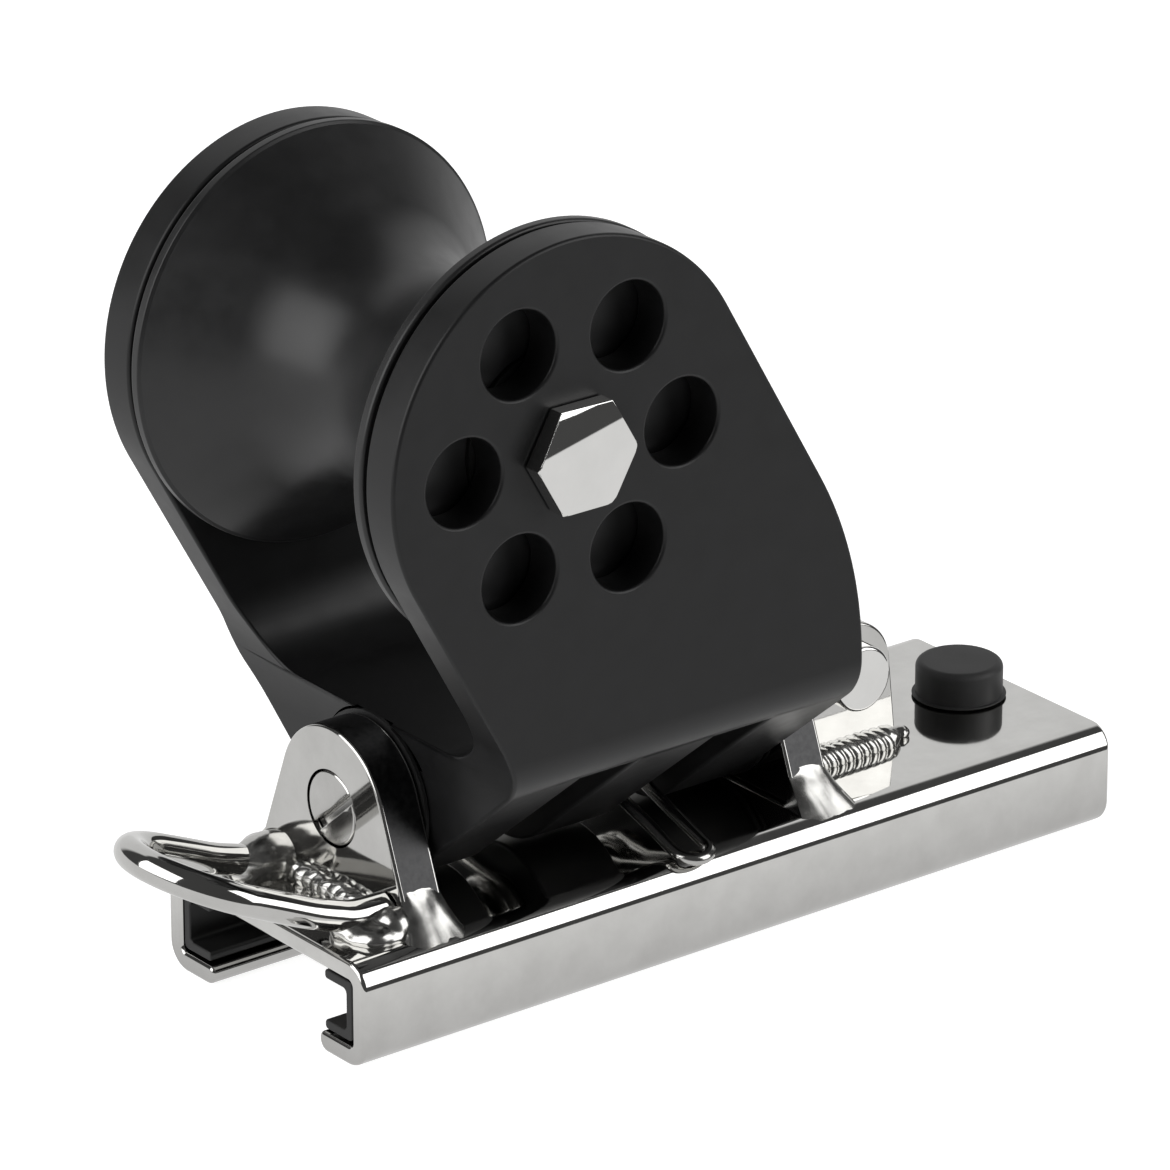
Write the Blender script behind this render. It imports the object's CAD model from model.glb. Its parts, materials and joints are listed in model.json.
"""Looks of the genoa lead car: fine pieces, procedural surfaces, studio floor, light and camera.

Frame as in the CAD part: the origin is the middle of the underside of the slide's top plate,
+X aft, +Y to starboard, +Z up.  Lengths below are millimetres unless a name says otherwise.
"""

import json
import math

import bmesh
import bpy
from mathutils import Matrix, Vector, noise

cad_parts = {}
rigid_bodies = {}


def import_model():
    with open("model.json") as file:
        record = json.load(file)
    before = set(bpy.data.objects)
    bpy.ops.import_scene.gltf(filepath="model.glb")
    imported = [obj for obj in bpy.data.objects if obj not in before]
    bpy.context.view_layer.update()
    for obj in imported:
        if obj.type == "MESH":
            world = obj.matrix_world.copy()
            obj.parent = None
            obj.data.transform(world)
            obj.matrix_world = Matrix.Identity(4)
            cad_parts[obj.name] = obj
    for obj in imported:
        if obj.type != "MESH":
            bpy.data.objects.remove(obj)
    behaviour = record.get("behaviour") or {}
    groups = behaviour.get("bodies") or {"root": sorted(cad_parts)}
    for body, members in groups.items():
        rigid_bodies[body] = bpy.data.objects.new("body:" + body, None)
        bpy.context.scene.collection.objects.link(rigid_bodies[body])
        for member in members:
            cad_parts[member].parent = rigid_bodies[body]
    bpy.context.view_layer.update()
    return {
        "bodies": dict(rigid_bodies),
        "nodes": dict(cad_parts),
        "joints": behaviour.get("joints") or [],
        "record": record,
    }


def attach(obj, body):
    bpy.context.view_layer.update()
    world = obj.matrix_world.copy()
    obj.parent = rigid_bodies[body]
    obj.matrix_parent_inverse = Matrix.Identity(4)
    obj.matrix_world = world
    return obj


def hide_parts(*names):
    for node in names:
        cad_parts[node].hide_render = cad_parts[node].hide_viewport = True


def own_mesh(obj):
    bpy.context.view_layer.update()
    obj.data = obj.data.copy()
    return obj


MM = 0.001
GAP = 0.3
SIDES = ((-1, "port"), (1, "starboard"))

# ---- sizes shared with the CAD part ----
SLIDE_LENGTH = 150.0
SLIDE_WIDTH = 50.8
WALL = 3.2
CHANNEL_DEPTH = 14.1
LIP_TIP_Y = 13.8
TOP_CORNER_R = 4.0
BOTTOM_CORNER_R = 4.4
LIP_EDGE_R = 1.9
LIP_INNER_R = 1.0
CHANNEL_INNER_R = 0.9
LINER_WALL = 1.6
LINER_TIP_Y = 14.9
LINER_INSET = 0.4
LINER_LIFT = 0.6
LINER_EDGE_R = 0.6
LINER_OUTER_R = 1.0
LINER_INNER_R = 0.8
PIVOT_Z = 17.5
PIVOT_R = 6.0
EAR_THICKNESS = 7.4
EAR_TOP_R = 13.3
EAR_BASE_HALF = 19.6
FRONT_EAR_X = -62.0
REAR_EAR_X = 21.6
WASHER_THICKNESS = 0.6
BUSH_WALL = 1.3
PIN_SLOT_WIDTH = 1.6
PIN_SLOT_DEPTH = 1.2
PIN_SLOT_TILT = 41.0
PIN_SLOT_OFFSET = -0.7
CHEEK_OUTER_Y = 36.8
CHEEK_INNER_Y = 30.0
CHEEK_R = 33.6
AXLE_X = -43.5
AXLE_Z = 82.9
FRONT_EDGE_SLOPE = 61.0
REAR_EDGE_SLOPE = 60.0
REAR_EDGE_R = 65.0
FRONT_KINK_R = 30.0
WASHER_SEAT_R = 14.3
WASHER_SEAT_LAND = 0.05
HUB_R = 13.5
FLANK_SLOPE = 40.0
SHOULDER_R = 9.0
WEB_TOP_Z = 31.0
WEB_FILLET_R = 12.0
HOLE_CIRCLE_R = 20.4
LIGHTENING_HOLE_R = 6.9
LIGHTENING_HOLES = 6
POCKET_WIDTH = 10.8
POCKET_X = (-34.5, -8.6)
POCKET_CEILING_Z = 28.6
ROLLER_HALF = 29.3
ROLLER_RIM_R = 33.8
ROLLER_RIM_WIDTH = 2.2
ROLLER_WAIST_R = 17.5
ROLLER_FLARE_R = 25.0
ROLLER_FLARE_SLOPE = 42.0
AXLE_R = 4.8
SLEEVE_R = 8.0
ROLLER_BUSH_R = 12.0
ROLLER_BUSH_START = 13.3
AXLE_WASHER_R = 14.2
AXLE_WASHER_THICKNESS = 1.1
HEX_ACROSS_FLATS = 16.3
HEX_HEAD = 3.2
HEX_NUT = 4.5
WIRE_R = 1.0
COIL_R = 7.5
LOOP_WIDTH = 5.7
LOOP_REACH = 25.8
LOOP_DROOP = 0.7
LEG_KNEE = (9.4, 8.9)
LOOP_SHIFT = 1.2
COIL_HALF = 4.1
COIL_TURNS = 1.4
COIL_PITCH = 2.1
TAIL_LENGTH = 4.6
BAIL_ROD_R = 2.5
BAIL_HALF_WIDTH = 12.4
BAIL_FOOT_HALF_WIDTH = 13.4
BAIL_RISE = 24.0
BAIL_REACH = 29.0
BAIL_START_X = -70.2
BECKET_X = 34.5
BECKET_PLATE_R = 8.4
BECKET_PLATE_INNER_Y = 4.2
BECKET_PLATE_THICKNESS = 3.8
BECKET_BASE_AFT_X = 44.4
BECKET_PIN_R = 4.0
BECKET_HEAD_R = 5.5
BECKET_HEAD_HEIGHT = 3.3
BECKET_PIN_PROUD = 2.6
BECKET_COLLAR_WIDTH = 2.2
STOP_X = 64.5
KNOB_R = 7.15
KNOB_HEIGHT = 6.2
KNOB_WALL = 0.9
KNOB_FOOT_R = 7.7
KNOB_FOOT_HEIGHT = 0.3
KNOB_SOCKET = 0.55
BARREL_R = 5.8
BARREL_ROOF = 0.6
STOP_PIN_R = 2.6
STOP_COLLAR_R = 4.5
STOP_COLLAR_TOP = 1.2
STOP_SPRING_WIRE_R = 0.3
STOP_SPRING_TURNS = 3.0

# ---- finish: edge roundings, facet counts and weld shapes ----
SLIDE_END_ROUND = 0.75
LINER_END_ROUND = 0.3
PIN_END_ROUND = 0.5
KNOB_TOP_ROUND = 1.2
TOE_HEIGHT = 6.0               # of an ear's foot weld above the slide
TOE_FOOT_ANGLE = 36.0          # degrees round the slide's top corner where it ends
TOE_BEND_DROP = 0.9            # from its top, along the ear, to where the ramp bends away
TOE_FLARE = 2.8                # its spread along the slide at the foot
TOE_BACK_FLARE = 0.6           # share of that on the side facing the block
TOE_LUMP = 0.25                # unevenness left by hand grinding
HEAD_RIDGE = 2.5               # above the axle's centre, where the bolt head begins to fall away
HEAD_RIDGE_TILT = 12.7         # degrees
HEAD_DOME_R = 30.0
HEAD_CORNER_R = 8.85
HEX_CHAMFER_SLOPE = 25.0       # degrees
EAR_EDGE_ROUND = 0.55
PLATE_EDGE_ROUND = 0.45
FRAME_EDGE_ROUND = 0.6
CUT_REACH = 60.0               # cutters run this far past the block's middle
LATHE_STEPS = 128
# puddles at one bail foot: forward of the ear, across from the middle, up, radii, lumpiness
FRONT_PUDDLES = (
    (3.0, 15.2, 0.3, (6.2, 5.8, 2.6), 0.03),
    (1.4, 17.4, 1.2, (3.2, 3.2, 3.2), 0.04),
    (2.4, 12.8, 1.6, (4.8, 3.8, 3.1), 0.04),
    (6.4, 13.4, 0.8, (3.4, 3.4, 2.4), 0.04),
    (4.6, 18.0, 0.4, (3.6, 2.8, 2.2), 0.03),
)
STEEL_DARK = (0.52, 0.515, 0.50)
STEEL_LIGHT = (0.58, 0.575, 0.56)

# ---- camera, in degrees and metres ----
CAMERA_AZIMUTH = -38.075
CAMERA_ELEVATION = 22.351
CAMERA_DISTANCE = 1.27685
CAMERA_AIM_RIGHT = -0.010010
CAMERA_AIM_UP = 0.048888
CAMERA_LENS = 247.27
FLOOR_Z = -CHANNEL_DEPTH

# ---- light; azimuths are from straight ahead of the camera, positive to its right ----
WALL_GREY = 0.80               # the wall behind the object, as polished steel sees it
WALL_AZIMUTHS = (0.62, 0.80)   # cosines from straight ahead where the wall fades in, is full
WALL_TOP = (0.74, 0.80)        # sine of the elevation where the wall fades out
FLOOR_GREY = 0.86              # the floor as polished steel sees it
FLOOR_EDGE_AZIMUTH = 112.0     # the floor's near edge lies this way
FLOOR_EDGE = 0.12              # sine below level of the floor's edge, on average
FLOOR_EDGE_TILT = 0.20         # and how much nearer it comes towards that azimuth
FLOOR_EDGE_BLUR = 0.01
DARK_ROOM = 0.07               # grey of everything else as polished steel sees it
SOFTBOXES = (                  # azimuth, elevation, width, height, distance in degrees and metres
    ("softbox_right", 103.0, 22.75, 38.0, 47.5, 1.7, 2.6),
    ("softbox_left", -117.0, 30.0, 54.0, 50.0, 1.7, 2.6),
)                              # the last value is its radiance
FLOOR_GLOW = 0.80
FLOOR_HALF = 3.0               # metres from its middle to its edges


# ---- outlines ----
def arc(centre, radius, start, end, steps):
    """Points on a circle from start to end, both in degrees."""
    points = []
    for i in range(steps + 1):
        angle = math.radians(start + (end - start) * i / steps)
        points.append((centre[0] + radius * math.cos(angle), centre[1] + radius * math.sin(angle)))
    return points


def rounded(corners, steps=12):
    """An outline from (u, v, radius) corners, each rounded by its own radius."""
    points = []
    count = len(corners)
    for i in range(count):
        here = Vector(corners[i][:2])
        radius = corners[i][2]
        if radius == 0:
            points.append(tuple(here))
            continue
        back = (Vector(corners[i - 1][:2]) - here).normalized()
        on = (Vector(corners[(i + 1) % count][:2]) - here).normalized()
        half = back.angle(on) / 2
        centre = here + (back + on).normalized() * (radius / math.sin(half))
        first = here + back * (radius / math.tan(half)) - centre
        last = here + on * (radius / math.tan(half)) - centre
        start = math.degrees(math.atan2(first.y, first.x))
        sweep = math.degrees(math.atan2(last.y, last.x)) - start
        sweep = (sweep + 180) % 360 - 180
        points += arc(centre, radius, start, start + sweep, steps)
    return points


def tangent_angle(centre, radius, point, side):
    """Degrees round the circle where a line from point touches it, on side +1 or -1."""
    offset = Vector(point) - Vector(centre)
    return math.degrees(math.atan2(offset.y, offset.x) + side * math.acos(radius / offset.length))


def place(along, across, up, axis):
    """A point given along an axis plus two coordinates square to it, in metres."""
    if axis == "X":
        return Vector((along, across, up)) * MM
    if axis == "Y":
        return Vector((across, along, up)) * MM
    return Vector((across, up, along)) * MM


# ---- solids ----
def finish_mesh(name, maker, surfaces, sharp=35):
    """Turn a bmesh into an object, shaded smooth up to sharp edges."""
    bmesh.ops.remove_doubles(maker, verts=maker.verts, dist=2e-7)
    bmesh.ops.recalc_face_normals(maker, faces=maker.faces)
    mesh = bpy.data.meshes.new(name)
    maker.to_mesh(mesh)
    maker.free()
    thing = bpy.data.objects.new(name, mesh)
    bpy.context.scene.collection.objects.link(thing)
    for surface in surfaces:
        mesh.materials.append(surface)
    mesh.shade_smooth()
    mesh.set_sharp_from_angle(angle=math.radians(sharp))
    return thing


def even_normals(thing, sharp=35, strength=80):
    """Let large flats keep their own normal beside narrow roundings; strength 100 is fully."""
    thing.data.shade_smooth()
    thing.data.set_sharp_from_angle(angle=math.radians(sharp))
    weight = thing.modifiers.new("even_normals", "WEIGHTED_NORMAL")
    weight.keep_sharp = True
    weight.weight = strength
    return thing


def skin(name, rings, surfaces, middle=None, sharp=35):
    """A closed surface over a stack of rings; the faces of span number middle get slot 1."""
    maker = bmesh.new()
    made = [[maker.verts.new(point) for point in ring] for ring in rings]
    count = len(rings[0])
    for k in range(len(made) - 1):
        for i in range(count):
            j = (i + 1) % count
            face = maker.faces.new((made[k][i], made[k][j], made[k + 1][j], made[k + 1][i]))
            if middle is not None and k == middle:
                face.material_index = 1
    maker.faces.new(made[0])
    maker.faces.new(made[-1])
    return finish_mesh(name, maker, surfaces, sharp)


def inset_outline(outline, amount):
    """The closed outline moved inwards by amount."""
    count = len(outline)
    area = sum(outline[i - 1][0] * outline[i][1] - outline[i][0] * outline[i - 1][1]
               for i in range(count))
    turn = 1 if area > 0 else -1
    moved = []
    for i in range(count):
        before = Vector(outline[i]) - Vector(outline[i - 1])
        after = Vector(outline[(i + 1) % count]) - Vector(outline[i])
        before_in = Vector((-before.y, before.x)).normalized() * turn
        after_in = Vector((-after.y, after.x)).normalized() * turn
        middle = (before_in + after_in).normalized()
        stretch = 1 / max(0.5, middle.dot(before_in))
        moved.append(tuple(Vector(outline[i]) + middle * amount * stretch))
    return moved


def loft(name, outline, axis, low, high, edge, surfaces, steps=5):
    """Extrude a closed outline with rounded ends; a second surface goes on the side walls."""
    rings = []
    opening = [math.pi / 2 * k / steps for k in range(steps + 1)]
    closing = [math.pi / 2 * (1 - k / steps) for k in range(steps + 1)]
    for end, inwards, angles in ((low, 1, opening), (high, -1, closing)):
        for angle in angles:
            small = inset_outline(outline, edge * (1 - math.sin(angle)))
            along = end + inwards * edge * (1 - math.cos(angle))
            rings.append([place(along, u, v, axis) for u, v in small])
    middle = steps if len(surfaces) > 1 else None
    return skin(name, rings, surfaces, middle)


def prism(name, outline, axis, low, high, surfaces=()):
    rings = [[place(along, u, v, axis) for u, v in outline] for along in (low, high)]
    return skin(name, rings, surfaces)


def lathe(name, profile, axis, centre, surfaces, segments=LATHE_STEPS, closed=True):
    """Spin (radius, along) points about an axis through centre."""
    spindle = {"X": Vector((1, 0, 0)), "Y": Vector((0, 1, 0)), "Z": Vector((0, 0, 1))}[axis]
    outward = {"X": Vector((0, 0, 1)), "Y": Vector((1, 0, 0)), "Z": Vector((1, 0, 0))}[axis]
    middle = Vector(centre) * MM
    maker = bmesh.new()
    ring = [maker.verts.new(middle + (outward * r + spindle * h) * MM) for r, h in profile]
    edges = [maker.edges.new(pair) for pair in zip(ring, ring[1:])]
    if closed:
        edges.append(maker.edges.new((ring[-1], ring[0])))
    bmesh.ops.spin(maker, geom=ring + edges, cent=middle, axis=spindle,
                   angle=math.tau, steps=segments, use_merge=True)
    return finish_mesh(name, maker, surfaces)


def rod(name, radius, low, high, axis, centre, segments=LATHE_STEPS):
    profile = [(0, low), (radius, low), (radius, high), (0, high)]
    return lathe(name, profile, axis, centre, (), segments, closed=False)


def bake(thing):
    """Apply every modifier, so that what follows works on the finished faces."""
    bpy.context.view_layer.update()
    seen = thing.evaluated_get(bpy.context.evaluated_depsgraph_get())
    done = bpy.data.meshes.new_from_object(seen)
    thing.modifiers.clear()
    thing.data = done
    return thing


def combine(target, tool, operation):
    """Apply a Boolean and drop the tool."""
    change = target.modifiers.new("cut", "BOOLEAN")
    change.operation = operation
    change.solver = "EXACT"
    change.object = tool
    bake(target)
    bpy.data.objects.remove(tool)


def cut(target, tool):
    combine(target, tool, "DIFFERENCE")


def clean(thing):
    """Drop the slivers that cuts leave, and join faces that lie in one plane."""
    maker = bmesh.new()
    maker.from_mesh(thing.data)
    bmesh.ops.remove_doubles(maker, verts=maker.verts, dist=2e-5)
    bmesh.ops.dissolve_degenerate(maker, edges=maker.edges, dist=2e-5)
    bmesh.ops.dissolve_limit(maker, angle_limit=math.radians(0.4), verts=maker.verts,
                             edges=maker.edges)
    maker.to_mesh(thing.data)
    maker.free()


def round_edges(thing, width, segments=3, angle=40):
    edge = thing.modifiers.new("round_edges", "BEVEL")
    edge.width = width * MM
    edge.segments = segments
    edge.limit_method = "ANGLE"
    edge.angle_limit = math.radians(angle)
    edge.use_clamp_overlap = False
    edge.loop_slide = False


def smooth_path(points, per_span):
    """A Catmull-Rom curve through the points."""
    spots = [Vector(p) for p in points]
    spots = [spots[0] * 2 - spots[1]] + spots + [spots[-1] * 2 - spots[-2]]
    path = []
    for i in range(1, len(spots) - 2):
        a, b, c, d = spots[i - 1:i + 3]
        for k in range(per_span):
            t = k / per_span
            path.append(0.5 * ((2 * b) + (c - a) * t + (2 * a - 5 * b + 4 * c - d) * t * t
                               + (3 * b - a - 3 * c + d) * t * t * t))
    path.append(spots[-2])
    return path


def tube(name, path, radius, sides, surfaces, end_round, swell=None):
    """A round bar along a path, its ends rounded; swell(distance, angle) adds to its radius."""
    path = [Vector(p) for p in path]
    count = len(path)
    tangents = []
    for i in range(count):
        ahead = path[min(i + 1, count - 1)]
        behind = path[max(i - 1, 0)]
        tangents.append((ahead - behind).normalized())
    side = tangents[0].cross(Vector((0, 0, 1)))
    if side.length < 0.1:
        side = tangents[0].cross(Vector((0, 1, 0)))
    side.normalize()
    rings = []
    travelled = 0.0
    for i in range(count):
        if i:
            travelled += (path[i] - path[i - 1]).length
            turn = tangents[i - 1].rotation_difference(tangents[i])
            side = turn @ side
        up = side.cross(tangents[i])
        ring = []
        for k in range(sides):
            angle = math.tau * k / sides
            size = radius + (swell(travelled, angle) if swell else 0)
            ring.append((path[i] + (side * math.cos(angle) + up * math.sin(angle)) * size) * MM)
        rings.append(ring)

    def cap(which, way):
        stack = []
        middle = path[which] * MM
        for k in range(1, 5):
            angle = math.pi / 2 * k / 5
            shrink = 1 - end_round * (1 - math.cos(angle)) / radius
            push = tangents[which] * way * end_round * math.sin(angle) * MM
            stack.append([middle + (p - middle) * shrink + push for p in rings[which]])
        return stack

    return skin(name, cap(0, -1)[::-1] + rings + cap(-1, 1), surfaces, sharp=60)


# ---- surfaces ----
def new_surface(name):
    surface = bpy.data.materials.new(name)
    surface.use_nodes = True
    return surface, surface.node_tree.nodes["Principled BSDF"]


def add(surface, kind, **values):
    node = surface.node_tree.nodes.new(kind)
    for key, value in values.items():
        setattr(node, key, value)
    return node


def grain(surface, scale, detail, stretch=(1.0, 1.0, 1.0)):
    """Noise over the object's own coordinates; scale is features per metre."""
    links = surface.node_tree.links
    where = add(surface, "ShaderNodeTexCoord")
    mapping = add(surface, "ShaderNodeMapping")
    mapping.inputs["Scale"].default_value = stretch
    field = add(surface, "ShaderNodeTexNoise")
    field.inputs["Scale"].default_value = scale
    field.inputs["Detail"].default_value = detail
    field.inputs["Roughness"].default_value = 0.55
    links.new(where.outputs["Object"], mapping.inputs["Vector"])
    links.new(mapping.outputs["Vector"], field.inputs["Vector"])
    return field.outputs["Fac"]


def between(surface, value, low, high, start=0.3, stop=0.7, kind="LINEAR"):
    """Map a value from start..stop to low..high."""
    node = add(surface, "ShaderNodeMapRange", interpolation_type=kind)
    node.inputs["From Min"].default_value = start
    node.inputs["From Max"].default_value = stop
    node.inputs["To Min"].default_value = low
    node.inputs["To Max"].default_value = high
    surface.node_tree.links.new(value, node.inputs["Value"])
    return node.outputs["Result"]


def tint(surface, value, dark, light):
    """A colour between dark and light."""
    node = add(surface, "ShaderNodeMix", data_type="RGBA")
    node.inputs["A"].default_value = (*dark, 1)
    node.inputs["B"].default_value = (*light, 1)
    surface.node_tree.links.new(value, node.inputs["Factor"])
    return node.outputs["Result"]


def relief(surface, value, depth, before=None):
    """A bump of the given depth in millimetres, on top of an earlier one."""
    node = add(surface, "ShaderNodeBump")
    node.inputs["Strength"].default_value = 1.0
    node.inputs["Distance"].default_value = depth * MM
    surface.node_tree.links.new(value, node.inputs["Height"])
    if before is not None:
        surface.node_tree.links.new(before, node.inputs["Normal"])
    return node.outputs["Normal"]


def mottled(name, dark, light, rough, mottle):
    """A surface with a slight mottle in colour and roughness."""
    surface, shader = new_surface(name)
    links = surface.node_tree.links
    cloud = grain(surface, mottle, 4.0)
    links.new(tint(surface, between(surface, cloud, 0.0, 1.0), dark, light),
              shader.inputs["Base Color"])
    links.new(between(surface, cloud, rough[0], rough[1]), shader.inputs["Roughness"])
    return surface, shader


def metal(name, dark, light, rough, mottle=150.0, wave=(70.0, 0.02), fine=(2500.0, 0.0006)):
    """Bare metal with a slow wave and a fine grain."""
    surface, shader = mottled(name, dark, light, rough, mottle)
    shader.inputs["Metallic"].default_value = 1.0
    slow = relief(surface, grain(surface, wave[0], 1.0), wave[1])
    bumps = relief(surface, grain(surface, fine[0], 2.0), fine[1], slow)
    surface.node_tree.links.new(bumps, shader.inputs["Normal"])
    return surface


def darker_foot(surface):
    """Let the base colour fall off towards the slide's foot."""
    links = surface.node_tree.links
    base = surface.node_tree.nodes["Principled BSDF"].inputs["Base Color"]
    colour = base.links[0].from_socket
    where = add(surface, "ShaderNodeTexCoord")
    split = add(surface, "ShaderNodeSeparateXYZ")
    links.new(where.outputs["Object"], split.inputs["Vector"])
    fall = between(surface, split.outputs["Z"], 0.80, 1.12, -CHANNEL_DEPTH * MM, -1.0 * MM)
    shade = add(surface, "ShaderNodeMix", data_type="RGBA", blend_type="MULTIPLY")
    shade.inputs["Factor"].default_value = 1.0
    links.new(colour, shade.inputs["A"])
    links.new(fall, shade.inputs["B"])
    links.new(shade.outputs["Result"], base)
    return surface


def plastic(name, dark, light, rough, specular, fine, stretch=(1.0, 1.0, 1.0)):
    """A matt or satin coated or moulded surface with a fine grain."""
    surface, shader = mottled(name, dark, light, rough, 220.0)
    shader.inputs["Specular IOR Level"].default_value = specular
    bumps = relief(surface, grain(surface, fine[0], 3.0, stretch), fine[1])
    surface.node_tree.links.new(bumps, shader.inputs["Normal"])
    return surface


def make_surfaces():
    return {
        "polish": metal("polished_stainless", STEEL_DARK, STEEL_LIGHT, (0.045, 0.085)),
        "slide": darker_foot(metal("slide_stainless", STEEL_DARK, STEEL_LIGHT, (0.045, 0.085))),
        "head": metal("polished_head", (0.70, 0.695, 0.68), (0.74, 0.735, 0.72), (0.02, 0.04),
                      wave=(40.0, 0.002), fine=(2500.0, 0.0003)),
        "ear_face": metal("mirror_stainless", STEEL_DARK, STEEL_LIGHT, (0.04, 0.07),
                          wave=(45.0, 0.07)),
        "ear_edge": metal("linished_stainless", (0.045, 0.045, 0.046), (0.085, 0.085, 0.086),
                          (0.34, 0.46), mottle=900.0, wave=(300.0, 0.03), fine=(2200.0, 0.006)),
        "weld": metal("weld_stainless", (0.46, 0.455, 0.44), (0.60, 0.595, 0.575),
                      (0.17, 0.27), mottle=400.0, wave=(300.0, 0.03), fine=(1500.0, 0.003)),
        "turned": metal("turned_stainless", (0.48, 0.475, 0.46), (0.56, 0.555, 0.54),
                        (0.10, 0.18), wave=(60.0, 0.004)),
        "wire": metal("spring_wire", (0.44, 0.435, 0.42), (0.52, 0.515, 0.50), (0.14, 0.22),
                      wave=(200.0, 0.01), fine=(1800.0, 0.001)),
        "alloy": plastic("black_anodised", (0.0060, 0.0060, 0.0062), (0.0080, 0.0080, 0.0084),
                         (0.36, 0.42), 0.34, (5200.0, 0.0016)),
        "acetal": plastic("black_acetal", (0.0100, 0.0100, 0.0103), (0.0130, 0.0130, 0.0134),
                          (0.33, 0.39), 0.46, (60.0, 0.003), (1.0, 30.0, 1.0)),
        "liner": plastic("liner_plastic", (0.0060, 0.0060, 0.0060), (0.0100, 0.0100, 0.0100),
                         (0.42, 0.52), 0.40, (1400.0, 0.006)),
        "knob": plastic("knob_rubber", (0.026, 0.026, 0.026), (0.040, 0.040, 0.040),
                        (0.50, 0.60), 0.40, (3800.0, 0.010)),
        "washer": plastic("black_washer", (0.008, 0.008, 0.008), (0.013, 0.013, 0.013),
                          (0.40, 0.50), 0.35, (1800.0, 0.004)),
        "bearing": plastic("bearing_plastic", (0.50, 0.48, 0.42), (0.58, 0.56, 0.50),
                           (0.40, 0.50), 0.45, (1500.0, 0.004)),
    }


# ---- the slide and what is fixed to it ----
def fine_slide(look):
    half = SLIDE_WIDTH / 2
    inner = half - WALL
    floor = -CHANNEL_DEPTH
    lip_top = floor + WALL
    section = rounded([
        (-LIP_TIP_Y, floor, LIP_EDGE_R), (-half, floor, BOTTOM_CORNER_R),
        (-half, WALL, TOP_CORNER_R), (half, WALL, TOP_CORNER_R), (half, floor, BOTTOM_CORNER_R),
        (LIP_TIP_Y, floor, LIP_EDGE_R), (LIP_TIP_Y, lip_top, LIP_INNER_R),
        (inner, lip_top, CHANNEL_INNER_R), (inner, 0, CHANNEL_INNER_R),
        (-inner, 0, CHANNEL_INNER_R), (-inner, lip_top, CHANNEL_INNER_R),
        (-LIP_TIP_Y, lip_top, LIP_INNER_R)])
    slide = loft("slide_polished", section, "X", -SLIDE_LENGTH / 2, SLIDE_LENGTH / 2,
                 SLIDE_END_ROUND, [look["slide"]])
    cut(slide, rod("stop_hole", BARREL_R + GAP, -5, 10, "Z", (STOP_X, 0, 0)))
    return even_normals(slide)


def fine_liner(name, side, look):
    outer = SLIDE_WIDTH / 2 - WALL - GAP
    inner = outer - LINER_WALL
    top = -GAP
    bottom = -CHANNEL_DEPTH + WALL + LINER_LIFT
    section = rounded([
        (side * LINER_TIP_Y, bottom, LINER_EDGE_R), (side * outer, bottom, LINER_OUTER_R),
        (side * outer, top, LINER_OUTER_R), (side * LINER_TIP_Y, top, LINER_EDGE_R),
        (side * LINER_TIP_Y, top - LINER_WALL, LINER_EDGE_R),
        (side * inner, top - LINER_WALL, LINER_INNER_R),
        (side * inner, bottom + LINER_WALL, LINER_INNER_R),
        (side * LINER_TIP_Y, bottom + LINER_WALL, LINER_EDGE_R)], 8)
    reach = SLIDE_LENGTH / 2 - LINER_INSET
    return even_normals(loft(name, section, "X", -reach, reach, LINER_END_ROUND,
                             [look["liner"]], 4))


def ear_round_top(steps):
    """An ear's round top in Y and Z, from one straight side to the other."""
    centre = (0, PIVOT_Z)
    right = tangent_angle(centre, EAR_TOP_R, (EAR_BASE_HALF, WALL + GAP), 1)
    return arc(centre, EAR_TOP_R, right, 180 - right, steps)


def ear_outline():
    base = WALL + GAP
    return [(-EAR_BASE_HALF, base), (EAR_BASE_HALF, base)] + ear_round_top(56)


def fine_ear(name, front, look):
    ear = loft(name, ear_outline(), "X", front, front + EAR_THICKNESS, EAR_EDGE_ROUND,
               [look["ear_face"], look["ear_edge"]])
    cut(ear, rod("pin_hole", PIVOT_R + GAP, -5, EAR_THICKNESS + 5, "X", (front, 0, PIVOT_Z)))
    return even_normals(ear)


def fine_pivot_pin(look):
    length = REAR_EAR_X - FRONT_EAR_X
    profile = rounded([(0, 0, 0), (PIVOT_R, 0, PIN_END_ROUND), (PIVOT_R, length, PIN_END_ROUND),
                       (0, length, 0)], 6)
    centre = (FRONT_EAR_X, 0, PIVOT_Z)
    pin = lathe("pivot_pin_turned", profile, "X", centre, [look["turned"]], closed=False)
    half = PIN_SLOT_WIDTH / 2
    low = PIN_SLOT_OFFSET - half
    high = PIN_SLOT_OFFSET + half
    reach = 10
    blade = prism("blade", [(-reach, low), (reach, low), (reach, high), (-reach, high)], "X", -5,
                  PIN_SLOT_DEPTH)
    turn = Matrix.Rotation(math.radians(-PIN_SLOT_TILT), 4, "X")
    blade.matrix_world = Matrix.Translation(Vector(centre) * MM) @ turn
    cut(pin, blade)
    round_edges(pin, 0.12)
    return even_normals(bake(pin))


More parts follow.
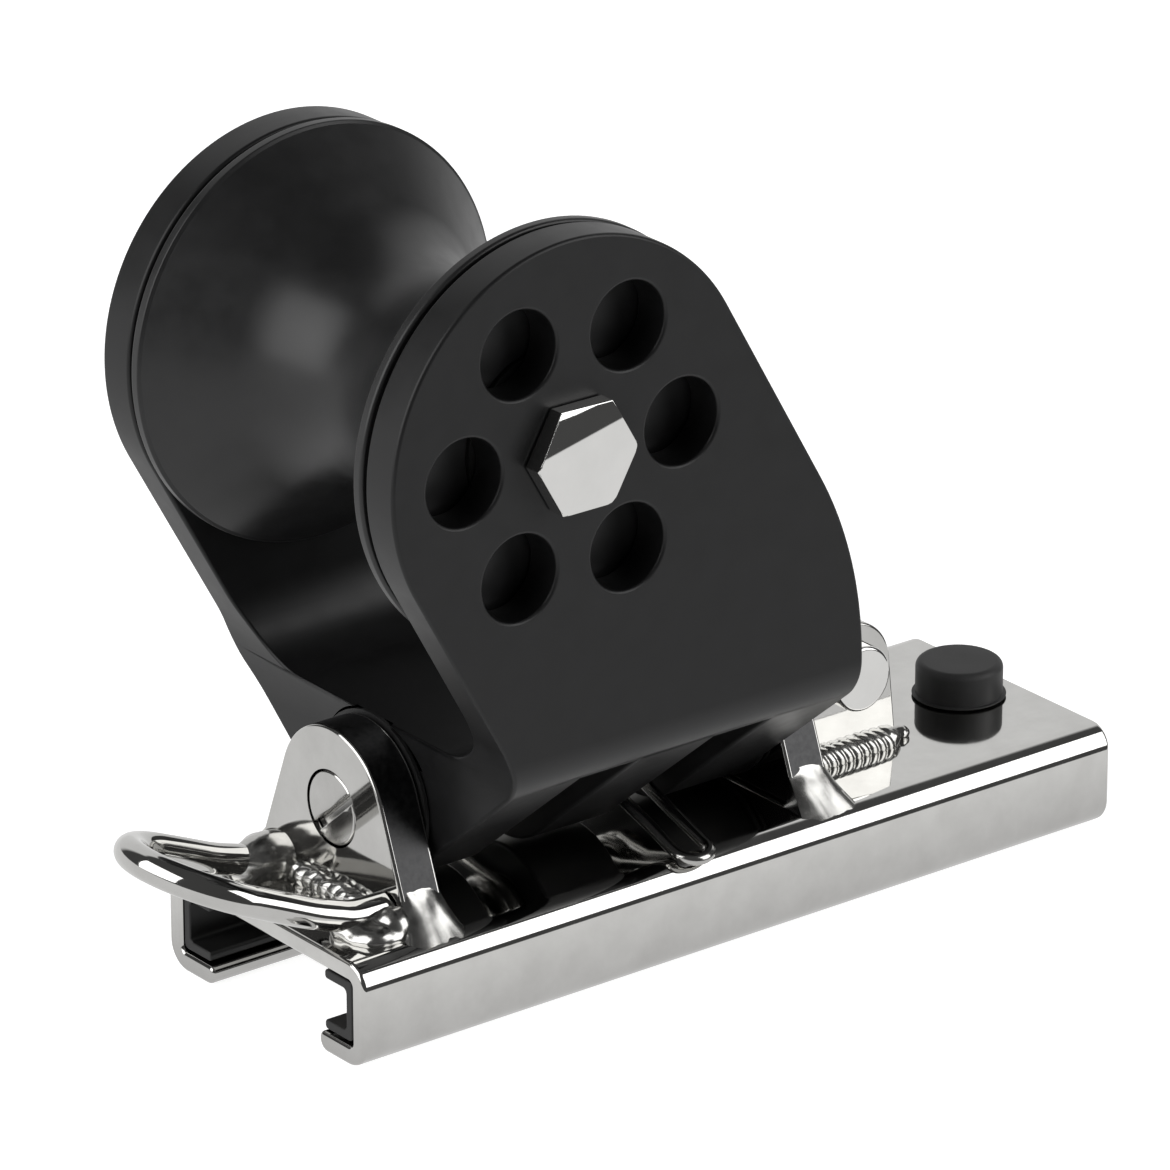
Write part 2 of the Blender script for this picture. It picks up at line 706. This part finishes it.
def fine_bail(look):
    rise = math.radians(BAIL_RISE)
    foot_z = WALL + GAP + BAIL_ROD_R
    ear = FRONT_EAR_X - GAP - 0.1
    nose = BAIL_REACH - BAIL_HALF_WIDTH
    bend_in = 0.25

    def leg(side):
        run = [(ear, side * (BAIL_FOOT_HALF_WIDTH + 0.3), foot_z)]
        for aft, inwards, lift in ((3, 0, 0), (1, 0.1, 0.25), (-1, bend_in, 0.85)):
            run.append((BAIL_START_X + aft, side * (BAIL_FOOT_HALF_WIDTH - inwards),
                        foot_z + lift))
        for part in (0.35, 0.7, 1.0):
            along = nose * part
            half = BAIL_HALF_WIDTH + (BAIL_FOOT_HALF_WIDTH - bend_in - BAIL_HALF_WIDTH) * (1 - part)
            run.append((BAIL_START_X - along * math.cos(rise), side * half,
                        foot_z + along * math.sin(rise)))
        return run

    round_nose = []
    steps = 16
    for i in range(1, steps):
        angle = math.pi * i / steps
        along = nose + BAIL_HALF_WIDTH * math.sin(angle)
        round_nose.append((BAIL_START_X - along * math.cos(rise),
                           -BAIL_HALF_WIDTH * math.cos(angle), foot_z + along * math.sin(rise)))
    path = smooth_path(leg(-1) + round_nose + leg(1)[::-1], 5)
    return tube("tow_bail_rod", path, BAIL_ROD_R, 40, [look["polish"]], 0.1)


def fine_becket(look):
    centre = (BECKET_X, PIVOT_Z)
    base = WALL + GAP
    fore = REAR_EAR_X + GAP
    aft = tangent_angle(centre, BECKET_PLATE_R, (BECKET_BASE_AFT_X, base), 1)
    outline = ([(fore, base), (BECKET_BASE_AFT_X, base)]
               + arc(centre, BECKET_PLATE_R, aft, 100, 40) + [(fore, PIVOT_Z + 2)])
    outer_y = BECKET_PLATE_INNER_Y + BECKET_PLATE_THICKNESS
    pieces = {}
    for side, word in SIDES:
        node = "becket_plate_" + word
        ends = sorted((side * BECKET_PLATE_INNER_Y, side * outer_y))
        plate = loft(node + "_polished", outline, "Y", ends[0], ends[1], PLATE_EDGE_ROUND,
                     [look["ear_face"]])
        cut(plate, rod("hole", BECKET_PIN_R + GAP, -20, 20, "Y", (BECKET_X, 0, PIVOT_Z), 64))
        pieces[node] = even_normals(plate)
    spot = (BECKET_X, 0, PIVOT_Z)
    head = outer_y + GAP
    profile = rounded([
        (0, -head - BECKET_HEAD_HEIGHT, 0), (BECKET_HEAD_R, -head - BECKET_HEAD_HEIGHT, 0.6),
        (BECKET_HEAD_R, -head, 0.3), (BECKET_PIN_R, -head, 0),
        (BECKET_PIN_R, head + BECKET_PIN_PROUD, 0.5), (0, head + BECKET_PIN_PROUD, 0)], 6)
    pieces["becket_pin"] = even_normals(lathe("becket_pin_turned", profile, "Y", spot,
                                              [look["head"]], closed=False))
    bore = BECKET_PIN_R + GAP
    end = head + BECKET_COLLAR_WIDTH
    ring = rounded([(bore, head, 0.2), (BECKET_HEAD_R, head, 0.3), (BECKET_HEAD_R, end, 0.5),
                    (bore, end, 0.3)], 5)
    pieces["becket_pin_collar"] = even_normals(lathe("becket_collar_turned", ring, "Y", spot,
                                                     [look["head"]]))
    return pieces


def fine_spring(name, middle, side, look):
    """The wire of one centring spring: two coils round the pin and a U loop between them."""
    foot_z = WALL + GAP + WIRE_R
    knee = Vector(LEG_KNEE)
    reach = math.hypot(knee.x, knee.y - PIVOT_Z)
    leave = math.atan2(knee.y - PIVOT_Z, knee.x) - math.acos(COIL_R / reach)
    sweep = math.tau * COIL_TURNS
    start = leave - sweep
    inner_x = COIL_HALF - COIL_PITCH * COIL_TURNS
    tail = (inner_x, COIL_R * math.cos(start) + TAIL_LENGTH * math.sin(start),
            PIVOT_Z + COIL_R * math.sin(start) - TAIL_LENGTH * math.cos(start))
    steps = 72
    half = [tail]
    for i in range(steps + 1):
        angle = start + sweep * i / steps
        x = inner_x + COIL_PITCH * COIL_TURNS * i / steps
        half.append((x, COIL_R * math.cos(angle), PIVOT_Z + COIL_R * math.sin(angle)))
    bend = LOOP_WIDTH / 2
    half.append((bend, knee.x, knee.y))
    half.append((bend, LOOP_REACH - bend - 1.2, foot_z + 0.3))
    half.append((bend, LOOP_REACH - bend, foot_z))
    nose = []
    for i in range(1, 10):
        angle = math.pi / 2 * (1 - i / 5)
        nose.append((bend * math.sin(angle), LOOP_REACH - bend + bend * math.cos(angle),
                     foot_z - LOOP_DROOP * math.cos(angle)))
    other = [(-x, across, up) for x, across, up in reversed(half)]
    points = []
    for x, across, up in half + nose + other:
        shift = side * LOOP_SHIFT * min(1, max(0, across / knee.x))
        points.append((middle + x + shift, side * across, up))
    return tube(name, smooth_path(points, 2), WIRE_R * 0.99, 20, [look["wire"]], 0.2)


def fine_knob(look):
    seat = WALL + GAP
    top = WALL + KNOB_HEIGHT
    cavity = KNOB_R - KNOB_WALL
    ceiling = top - KNOB_WALL
    stem = STOP_PIN_R + GAP
    knob = rounded([
        (0, ceiling + KNOB_SOCKET, 0), (stem, ceiling + KNOB_SOCKET, 0), (stem, ceiling, 0),
        (cavity, ceiling, 0), (cavity, seat, 0), (KNOB_FOOT_R, seat, 0.15),
        (KNOB_FOOT_R, seat + KNOB_FOOT_HEIGHT, 0.14),
        (KNOB_R, seat + KNOB_FOOT_HEIGHT + 0.05, 0.1), (KNOB_R, top, KNOB_TOP_ROUND),
        (0, top + 0.02, 0)], 8)
    return even_normals(lathe("pull_knob_moulded", knob, "Z", (STOP_X, 0, 0), [look["knob"]],
                              closed=False))


def plunger_spring_span():
    """Lowest and highest points of the plunger spring's centre line."""
    barrel_top = WALL + KNOB_HEIGHT - KNOB_WALL - GAP
    low = STOP_COLLAR_TOP + GAP + STOP_SPRING_WIRE_R
    return low, barrel_top - BARREL_ROOF - GAP - STOP_SPRING_WIRE_R


def fine_plunger_spring(look):
    low, high = plunger_spring_span()
    coil_r = (STOP_COLLAR_R + STOP_PIN_R) / 2 + 0.2
    steps = 60
    coil = []
    for i in range(steps + 1):
        angle = math.tau * STOP_SPRING_TURNS * i / steps
        coil.append((STOP_X + coil_r * math.cos(angle), coil_r * math.sin(angle),
                     low + (high - low) * i / steps))
    return tube("plunger_spring_wire", smooth_path(coil, 2), STOP_SPRING_WIRE_R * 0.99, 14,
                [look["wire"]], 0.1)


# ---- welds ----
def blob(name, centre, radii, lump, seed):
    """A lumpy ellipsoid of weld metal."""
    maker = bmesh.new()
    bmesh.ops.create_icosphere(maker, subdivisions=4, radius=1.0)
    for vert in maker.verts:
        grow = 1 + lump * noise.noise(vert.co * 2.2 + Vector((seed, seed * 0.7, -seed)))
        vert.co = Vector((centre[0] + vert.co.x * radii[0] * grow,
                          centre[1] + vert.co.y * radii[1] * grow,
                          centre[2] + vert.co.z * radii[2] * grow)) * MM
    return finish_mesh(name, maker, ())


def ripple_bead(name, path, radius, pitch, ripple, lump, seed, facing):
    """A run of overlapping weld puddles along a path, crescents open towards its start."""
    def swell(distance, angle):
        phase = distance / pitch + 0.55 * (1 - math.cos(angle - facing))
        saw = phase - math.floor(phase)
        wander = noise.noise(Vector((distance * 0.30 + seed, math.cos(angle), math.sin(angle))))
        return ripple * (math.sqrt(math.sin(math.pi * saw)) - 0.6) + lump * wander
    return tube(name, smooth_path(path, 60), radius, 48, (), radius * 0.8, swell)


def fuse(name, parts, voxel, passes, look):
    """Melt several blobs and beads into one piece with soft joins."""
    maker = bmesh.new()
    for part in parts:
        maker.from_mesh(part.data)
        bpy.data.objects.remove(part)
    mesh = bpy.data.meshes.new(name)
    maker.to_mesh(mesh)
    maker.free()
    thing = bpy.data.objects.new(name, mesh)
    bpy.context.scene.collection.objects.link(thing)
    melt = thing.modifiers.new("melt", "REMESH")
    melt.mode = "VOXEL"
    melt.voxel_size = voxel * MM
    settle = thing.modifiers.new("settle", "SMOOTH")
    settle.factor = 0.5
    settle.iterations = passes
    done = bake(thing).data
    done.materials.clear()
    done.materials.append(look["weld"])
    done.shade_smooth()
    return thing


def toe_fillet(name, ear_front, outward, side, look):
    """The ground weld at one foot of an ear, a ramp flaring out to the slide's rounded edge."""
    steps = 16
    bend = TOP_CORNER_R * math.sin(math.radians(TOE_FOOT_ANGLE))
    foot = Vector((SLIDE_WIDTH / 2 - TOP_CORNER_R + bend,
                   WALL - TOP_CORNER_R + TOP_CORNER_R * math.cos(math.radians(TOE_FOOT_ANGLE))))
    shoulder_y, shoulder_z = ear_round_top(1)[0]
    part = (TOE_HEIGHT - GAP) / (shoulder_z - WALL - GAP)
    top = Vector((EAR_BASE_HALF + (shoulder_y - EAR_BASE_HALF) * part, WALL + TOE_HEIGHT))
    down = Vector((EAR_BASE_HALF - shoulder_y, WALL + GAP - shoulder_z)).normalized()
    hollow = top + down * TOE_BEND_DROP
    rings = []
    for k in range(steps + 1):
        t = k / steps
        spot = top * (1 - t) ** 2 + hollow * 2 * t * (1 - t) + foot * t * t
        flare = TOE_FLARE * t ** 3
        low = ear_front + 0.1 - flare * (1.0 if outward < 0 else TOE_BACK_FLARE)
        high = ear_front + EAR_THICKNESS - 0.1 + flare * (1.0 if outward > 0 else TOE_BACK_FLARE)
        inner = EAR_BASE_HALF - 3.0
        under = min(WALL - 0.3, spot.y - 0.1)
        ring = [(low, inner, under)]
        for j in range(13):
            across = j / 12
            drop = 0.45 * abs(2 * across - 1) ** 5
            along = low + (high - low) * across
            drop += TOE_LUMP * noise.noise(Vector((along * 0.45, 2.0 * t, side)))
            ring.append((along, spot.x - drop, spot.y - 0.5 * drop))
        ring.append((high, inner, under))
        rings.append([Vector((x, side * y, z)) * MM for x, y, z in ring])
    return skin(name, rings, [look["weld"]], sharp=50)


def build_welds(look):
    welds = []
    ear = FRONT_EAR_X
    run = [(ear - 0.5, -12.0, WALL + 1.1), (ear - 0.7, -4, WALL + 1.2), (ear - 0.7, 4, WALL + 1.2),
           (ear - 0.5, 12.0, WALL + 1.1)]
    bead = [ripple_bead("run", run, 1.8, 2.1, 0.24, 0.45, 3.0, math.pi)]
    welds.append(fuse("front_weld_bead", bead, 0.15, 14, look))
    parts = []
    for side, seed in ((-1, 1.7), (1, 5.1)):
        for along, across, up, radii, lump in FRONT_PUDDLES:
            seed += 1
            spot = (ear - along, side * across, WALL + up)
            parts.append(blob("puddle", spot, radii, lump, seed))
    parts.append(blob("far_cap", (ear - 3.0, BAIL_FOOT_HALF_WIDTH - 0.4, WALL + 2.6),
                      (6.4, 4.1, 3.9), 0.02, 9.0))
    welds.append(fuse("front_weld_puddles", parts, 0.22, 40, look))
    for node, front, outward in (("front_ear", FRONT_EAR_X, -1),
                                 ("rear_ear", REAR_EAR_X - EAR_THICKNESS, 1)):
        for side, word in SIDES:
            welds.append(toe_fillet(node + "_toe_" + word, front, outward, side, look))
    outer_y = BECKET_PLATE_INNER_Y + BECKET_PLATE_THICKNESS
    for side, word in SIDES:
        run = [(REAR_EAR_X + 0.5, side * (outer_y + 0.3), WALL + 0.8),
               (REAR_EAR_X + 10, side * (outer_y + 0.4), WALL + 0.7),
               (BECKET_BASE_AFT_X - 2.4, side * (outer_y + 0.2), WALL + 0.7)]
        parts = [ripple_bead("run", run, 2.2, 1.7, 0.40, 0.15, 2.0 + side,
                             math.radians(-45) if side < 0 else math.radians(-135))]
        parts.append(blob("end", (BECKET_BASE_AFT_X - 2.2, side * (outer_y + 0.1), WALL + 0.9),
                          (2.6, 2.2, 2.0), 0.1, 6.0))
        parts.append(blob("ball", (BECKET_BASE_AFT_X + 1.6, side * (outer_y - 0.8), WALL + 0.6),
                          (1.5, 1.5, 1.2), 0.1, 4.0))
        welds.append(fuse("becket_weld_" + word, parts, 0.12, 13, look))
    return welds


# ---- the block ----
def hub_span():
    stack = WASHER_THICKNESS + 2 * GAP
    return FRONT_EAR_X + EAR_THICKNESS + stack, REAR_EAR_X - EAR_THICKNESS - stack


def frame_side_outline():
    front, rear = hub_span()
    axle = (AXLE_X, AXLE_Z)
    top = arc(axle, CHEEK_R, 270 - FRONT_EDGE_SLOPE, 90 - REAR_EDGE_SLOPE, 96)
    leave_x, leave_z = top[0]
    kink_z = leave_z - (front - leave_x) * math.tan(math.radians(FRONT_EDGE_SLOPE))
    lean = 90 - REAR_EDGE_SLOPE
    tail_x = rear - REAR_EDGE_R
    join_x = tail_x + REAR_EDGE_R * math.cos(math.radians(lean))
    join_z = top[-1][1] - (join_x - top[-1][0]) * math.tan(math.radians(REAR_EDGE_SLOPE))
    tail_z = join_z - REAR_EDGE_R * math.sin(math.radians(lean))
    tail = arc((tail_x, tail_z), REAR_EDGE_R, lean, 0, 20)
    corners = [(front, 0, 0), (front, kink_z, FRONT_KINK_R)]
    return rounded(corners + [(x, z, 0) for x, z in top + tail + [(rear, 0)]], 16)


def frame_section_outline():
    centre = (0, PIVOT_Z)
    foot = FLANK_SLOPE - 90
    touch = arc(centre, HUB_R, foot, foot, 1)[0]
    rise = math.tan(math.radians(FLANK_SLOPE))
    corner_z = touch[1] + (CHEEK_OUTER_Y - touch[0]) * rise
    top = AXLE_Z + CHEEK_R + 4
    corners = [(CHEEK_OUTER_Y, corner_z, SHOULDER_R), (CHEEK_OUTER_Y, top, 0),
               (CHEEK_INNER_Y, top, 0), (CHEEK_INNER_Y, WEB_TOP_Z, WEB_FILLET_R),
               (-CHEEK_INNER_Y, WEB_TOP_Z, WEB_FILLET_R), (-CHEEK_INNER_Y, top, 0),
               (-CHEEK_OUTER_Y, top, 0), (-CHEEK_OUTER_Y, corner_z, SHOULDER_R)]
    hub = arc(centre, HUB_R, -180 - foot, foot, 36)
    return rounded(corners + [(y, z, 0) for y, z in hub], 16)


def fine_frame(look):
    front, rear = hub_span()
    frame = prism("cheek_frame_forged", frame_section_outline(), "X", front - 60, rear + 20,
                  [look["alloy"]])
    combine(frame, prism("side", frame_side_outline(), "Y", -CUT_REACH, CUT_REACH), "INTERSECT")
    cut(frame, rod("pivot_bore", PIVOT_R + BUSH_WALL + 2 * GAP, front - 5, rear + 5, "X",
                   (0, 0, PIVOT_Z), 64))
    wide = 50
    bottom = -20
    pocket = [(-wide, bottom), (wide, bottom), (wide, POCKET_CEILING_Z), (-wide, POCKET_CEILING_Z)]
    for middle in POCKET_X:
        low = middle - POCKET_WIDTH / 2
        cut(frame, prism("pocket", pocket, "X", low, low + POCKET_WIDTH))
    axle = (AXLE_X, 0, AXLE_Z)
    cut(frame, rod("axle_bore", AXLE_R + GAP, -CUT_REACH, CUT_REACH, "Y", axle, 48))
    for i in range(LIGHTENING_HOLES):
        angle = math.tau * i / LIGHTENING_HOLES
        spot = (AXLE_X + HOLE_CIRCLE_R * math.cos(angle), 0,
                AXLE_Z + HOLE_CIRCLE_R * math.sin(angle))
        cut(frame, rod("lightening", LIGHTENING_HOLE_R, -CUT_REACH, CUT_REACH, "Y", spot, 72))
    clean(frame)
    round_edges(frame, FRAME_EDGE_ROUND, 4, 38)
    bake(frame)
    cut(frame, rod("washer_seat", WASHER_SEAT_R, front - 20, front - WASHER_SEAT_LAND, "X",
                   (0, 0, PIVOT_Z)))
    return even_normals(frame, 35, 100)


def chamfer_tool(low, high, facing):
    """A body that breaks a hexagon's corners at the end it faces, -1 to port or +1."""
    corner = HEX_ACROSS_FLATS / math.sqrt(3)
    wide = corner + 1
    fall = (wide - HEAD_CORNER_R) * math.tan(math.radians(HEX_CHAMFER_SLOPE))
    outer, inner = (low, high) if facing < 0 else (high, low)
    profile = [(0, outer), (HEAD_CORNER_R, outer), (wide, outer - facing * fall), (wide, inner),
               (0, inner)]
    return lathe("chamfer", profile, "Y", (AXLE_X, 0, AXLE_Z), (), 96, closed=False)


def head_tool(outer, inner):
    """A body whose port face is flat below a ridge and falls away gently above it."""
    tilt = math.radians(HEAD_RIDGE_TILT)
    reach = 14.0
    steps = 24
    profile = [(-reach, inner), (-reach, outer)]
    for k in range(steps + 1):
        above = (reach - HEAD_RIDGE) * k / steps
        profile.append((HEAD_RIDGE + above, outer + above * above / (2 * HEAD_DOME_R)))
    profile.append((reach, inner))
    rings = []
    for along in (-reach, reach):
        rings.append([Vector((AXLE_X + along * math.cos(tilt) - up * math.sin(tilt), across,
                              AXLE_Z + along * math.sin(tilt) + up * math.cos(tilt))) * MM
                      for up, across in profile])
    return skin("head", rings, ())


def fine_bolt_and_nut(look):
    centre = (AXLE_X, 0, AXLE_Z)
    head_in = -(CHEEK_OUTER_Y + GAP)
    nut_in = CHEEK_OUTER_Y + GAP
    corner = HEX_ACROSS_FLATS / math.sqrt(3)
    hexagon = [(AXLE_X + corner * math.cos(math.tau * i / 6),
                AXLE_Z + corner * math.sin(math.tau * i / 6)) for i in range(6)]
    bolt = prism("axle_bolt_turned", hexagon, "Y", head_in - HEX_HEAD, head_in, [look["head"]])
    combine(bolt, chamfer_tool(head_in - HEX_HEAD, head_in, -1), "INTERSECT")
    combine(bolt, head_tool(head_in - HEX_HEAD, head_in), "INTERSECT")
    # slivers where the two cuts cross would now and then leave the next union empty
    clean(bolt)
    end = nut_in + HEX_NUT + GAP
    shank = rounded([(0, head_in - 1, 0), (AXLE_R, head_in - 1, 0), (AXLE_R, end, 0.6),
                     (0, end, 0)], 5)
    combine(bolt, lathe("shank", shank, "Y", centre, (), 64, closed=False), "UNION")
    nut = prism("axle_nut_turned", hexagon, "Y", nut_in, nut_in + HEX_NUT, [look["turned"]])
    combine(nut, chamfer_tool(nut_in, nut_in + HEX_NUT, 1), "INTERSECT")
    cut(nut, rod("thread", AXLE_R + GAP, nut_in - 5, nut_in + HEX_NUT + 5, "Y", centre, 64))
    for thing in (bolt, nut):
        round_edges(thing, 0.15, 2, 22)
        even_normals(bake(thing), 30)
    return bolt, nut


def fine_roller(look):
    lip = ROLLER_HALF - ROLLER_RIM_WIDTH
    rise = math.tan(math.radians(ROLLER_FLARE_SLOPE))
    flare = arc((ROLLER_WAIST_R + ROLLER_FLARE_R, 0), ROLLER_FLARE_R, 180,
                180 - ROLLER_FLARE_SLOPE, 24)
    end_r, end_h = flare[-1]
    seat = ROLLER_BUSH_R + GAP
    recess = AXLE_WASHER_R + GAP
    recess_floor = ROLLER_HALF - AXLE_WASHER_THICKNESS + 0.1
    shoulder = ROLLER_BUSH_START - GAP
    rim = [(end_r + (lip - end_h) * rise, lip, 0.25), (ROLLER_RIM_R, lip + 0.4, 0.3),
           (ROLLER_RIM_R, ROLLER_HALF, 0.6), (recess, ROLLER_HALF, 0.2),
           (recess, recess_floor, 0), (seat, recess_floor, 0), (seat, shoulder, 0),
           (SLEEVE_R + 1.2, shoulder, 0)]
    upper = [(r, h, 0) for r, h in flare] + rim
    lower = [(r, -h, bend) for r, h, bend in reversed(upper) if h != 0]
    profile = rounded(upper + lower, 6)
    return even_normals(lathe("roller_turned", profile, "Y", (AXLE_X, 0, AXLE_Z),
                              [look["acetal"]], 160))


# ---- floor, light, camera ----
def build_floor():
    maker = bmesh.new()
    bmesh.ops.create_grid(maker, x_segments=1, y_segments=1, size=FLOOR_HALF)
    for vert in maker.verts:
        vert.co.z = FLOOR_Z * MM
    surface, shader = new_surface("pale_floor")
    shader.inputs["Base Color"].default_value = (0.80, 0.80, 0.80, 1)
    shader.inputs["Roughness"].default_value = 0.9
    shader.inputs["Specular IOR Level"].default_value = 0.0
    shader.inputs["Emission Color"].default_value = (1, 1, 1, 1)
    shader.inputs["Emission Strength"].default_value = FLOOR_GLOW
    floor = finish_mesh("floor", maker, [surface])
    floor.visible_glossy = False


def towards_azimuth(azimuth):
    """The level direction at an azimuth from straight ahead of the camera."""
    heading = math.radians(-CAMERA_AZIMUTH + azimuth)
    return Vector((math.sin(heading), math.cos(heading), 0))


def build_camera():
    azimuth = math.radians(CAMERA_AZIMUTH)
    elevation = math.radians(CAMERA_ELEVATION)
    towards = Vector((math.sin(azimuth) * math.cos(elevation),
                      -math.cos(azimuth) * math.cos(elevation), math.sin(elevation)))
    right = Vector((math.cos(azimuth), math.sin(azimuth), 0))
    up = towards.cross(right)
    aim = Vector((0, 0, FLOOR_Z * MM)) + right * CAMERA_AIM_RIGHT + up * CAMERA_AIM_UP
    data = bpy.data.cameras.new("camera")
    data.sensor_width = 36
    data.lens = CAMERA_LENS
    data.clip_end = 20
    camera = bpy.data.objects.new("camera", data)
    camera.location = aim + towards * CAMERA_DISTANCE
    camera.rotation_euler = (-towards).to_track_quat("-Z", "Y").to_euler()
    bpy.context.scene.collection.objects.link(camera)
    bpy.context.scene.camera = camera


def build_world():
    """White behind the object; in reflections a grey wall and floor in a dark room."""
    world = bpy.data.worlds.new("studio")
    bpy.context.scene.world = world
    world.use_nodes = True
    links = world.node_tree.links
    backdrop = world.node_tree.nodes["Background"]
    where = add(world, "ShaderNodeTexCoord")
    split = add(world, "ShaderNodeSeparateXYZ")
    links.new(where.outputs["Generated"], split.inputs["Vector"])

    def along(azimuth):
        """How far a direction points towards an azimuth, as a cosine times its level part."""
        node = add(world, "ShaderNodeVectorMath", operation="DOT_PRODUCT")
        node.inputs[1].default_value = towards_azimuth(azimuth)
        links.new(where.outputs["Generated"], node.inputs[0])
        return node.outputs["Value"]

    def sums(kind, *values):
        node = add(world, "ShaderNodeMath", operation=kind)
        for slot, value in enumerate(values):
            if isinstance(value, float):
                node.inputs[slot].default_value = value
            else:
                links.new(value, node.inputs[slot])
        return node.outputs[0]

    height = split.outputs["Z"]
    level = sums("SQRT", sums("MULTIPLY", sums("MULTIPLY_ADD", height, height, -1.0), -1.0))
    ahead = sums("DIVIDE", along(0.0), level)
    wall = sums("MULTIPLY", between(world, ahead, 0.0, 1.0, *WALL_AZIMUTHS, "SMOOTHSTEP"),
                between(world, height, 1.0, 0.0, *WALL_TOP, "SMOOTHSTEP"))
    edge = sums("MULTIPLY_ADD", along(FLOOR_EDGE_AZIMUTH), FLOOR_EDGE_TILT, FLOOR_EDGE)
    floor = between(world, sums("ADD", height, edge), 1.0, 0.0, -FLOOR_EDGE_BLUR,
                    FLOOR_EDGE_BLUR, "SMOOTHSTEP")
    lit = sums("MAXIMUM", sums("MULTIPLY", wall, WALL_GREY), sums("MULTIPLY", floor, FLOOR_GREY))
    room = sums("MAXIMUM", lit, DARK_ROOM)
    ray = add(world, "ShaderNodeLightPath")
    pick = add(world, "ShaderNodeMix", data_type="RGBA")
    pick.inputs["B"].default_value = (1, 1, 1, 1)
    links.new(ray.outputs["Is Camera Ray"], pick.inputs["Factor"])
    links.new(room, pick.inputs["A"])
    links.new(pick.outputs["Result"], backdrop.inputs["Color"])


def build_lights():
    for name, azimuth, elevation, width, height, distance, radiance in SOFTBOXES:
        data = bpy.data.lights.new(name, "AREA")
        data.shape = "RECTANGLE"
        data.size = 2 * distance * math.tan(math.radians(width / 2))
        data.size_y = 2 * distance * math.tan(math.radians(height / 2))
        data.energy = radiance * math.pi * data.size * data.size_y
        light = bpy.data.objects.new(name, data)
        level = math.cos(math.radians(elevation))
        direction = towards_azimuth(azimuth) * level
        direction.z = math.sin(math.radians(elevation))
        light.location = direction * distance
        light.rotation_euler = direction.to_track_quat("Z", "Y").to_euler()
        bpy.context.scene.collection.objects.link(light)


# ---- the scene ----
def stand_in(thing, body, nodes):
    """A fine piece that rides on a body and is shown in place of CAD nodes."""
    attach(thing, body)
    if nodes:
        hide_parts(*nodes)


def build_pieces(frame):
    look = make_surfaces()
    stand_in(fine_slide(look), "slide", ["slide_channel"])
    for side, word in SIDES:
        node = "track_liner_" + word
        stand_in(fine_liner(node + "_moulded", side, look), "slide", [node])
    for node, front in (("front_ear", FRONT_EAR_X), ("rear_ear", REAR_EAR_X - EAR_THICKNESS)):
        stand_in(fine_ear(node + "_polished", front, look), "slide", [node])
    stand_in(fine_pivot_pin(look), "slide", ["pivot_pin"])
    stand_in(fine_bail(look), "slide", ["tow_bail"])
    for node, thing in fine_becket(look).items():
        stand_in(thing, "slide", [node])
    for node, middle, side in (("centring_spring_front", POCKET_X[0], 1),
                               ("centring_spring_rear", POCKET_X[1], -1)):
        stand_in(fine_spring(node + "_wire", middle, side, look), "slide", [node])
    for thing in build_welds(look):
        stand_in(thing, "slide", [])
    stand_in(fine_knob(look), "plunger", ["plunger_knob"])
    coil = fine_plunger_spring(look)
    stand_in(coil, "slide", ["plunger_spring"])
    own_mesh(coil)
    stand_in(fine_frame(look), "block", ["cheek_frame"])
    bolt, nut = fine_bolt_and_nut(look)
    stand_in(bolt, "block", ["axle_bolt"])
    stand_in(nut, "block", ["axle_nut"])
    stand_in(fine_roller(look), "roller", ["roller"])
    kept = {
        "washer": ["thrust_washer_front", "thrust_washer_rear", "axle_washer_port",
                   "axle_washer_starboard"],
        "turned": ["plunger_barrel", "stop_pin", "axle_sleeve"],
        "bearing": ["pivot_bush_front", "pivot_bush_rear", "roller_bush_port",
                    "roller_bush_starboard"],
    }
    for surface, nodes in kept.items():
        for node in nodes:
            mesh = frame["nodes"][node].data
            mesh.materials.clear()
            mesh.materials.append(look[surface])


def main():
    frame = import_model()
    build_pieces(frame)
    build_floor()
    build_world()
    build_lights()
    build_camera()
    bpy.context.scene.view_settings.view_transform = "Standard"


main()
